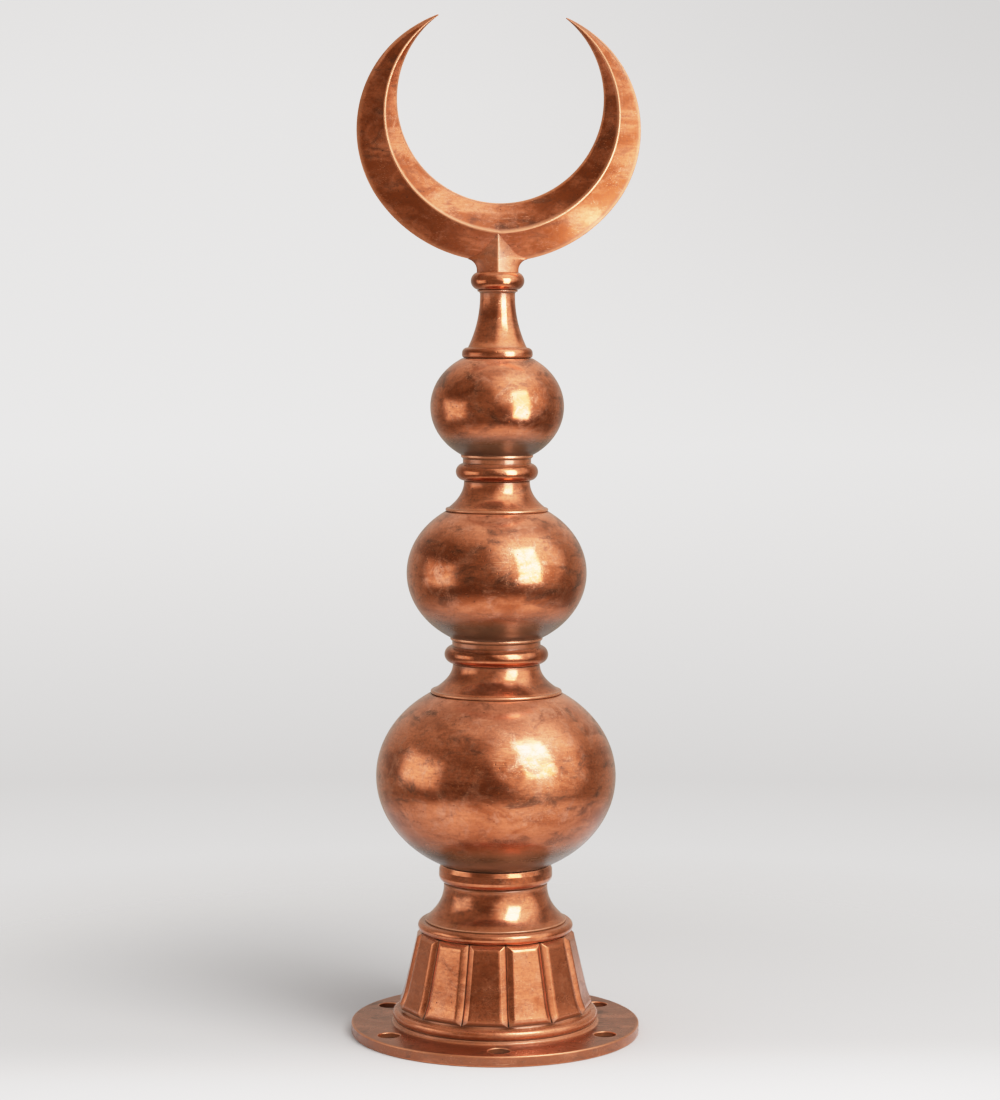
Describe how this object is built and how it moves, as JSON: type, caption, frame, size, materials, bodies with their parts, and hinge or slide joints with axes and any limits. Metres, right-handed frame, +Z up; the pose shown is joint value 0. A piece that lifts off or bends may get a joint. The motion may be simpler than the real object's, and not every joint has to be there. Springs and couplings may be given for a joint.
{
  "type": "roof finial",
  "caption": "Crescent roof finial: stacked flattened balls with turned necks and rings over a panelled conical base, standing on a round bolted flange.",
  "frame": {"origin": "middle of the flange's underside", "axes": "+Z up the finial's axis, -Y towards the front face of the crescent"},
  "size_m": [0.24, 0.24, 0.8398],
  "materials": {
    "plate_copper": "brown copper plate, dull, worn bright on the rim",
    "pressed_copper": "pressed copper sheet, brown patina, bright on the panel edges",
    "spun_copper": "spun copper, worn satin with brown clouding",
    "formed_copper": "hand formed copper sheet, worn satin with brown clouding"
  },
  "bodies": {
    "root": {"flange": "plate_copper", "panelled_base": "pressed_copper", "base_neck": "spun_copper", "collar": "spun_copper", "large_ball": "spun_copper", "lower_neck": "spun_copper", "lower_ring": "spun_copper", "middle_ball": "spun_copper", "upper_neck": "spun_copper", "upper_ring": "spun_copper", "small_ball": "spun_copper", "long_neck": "spun_copper", "knop": "spun_copper", "crescent": "formed_copper"}
  },
  "joints": []
}
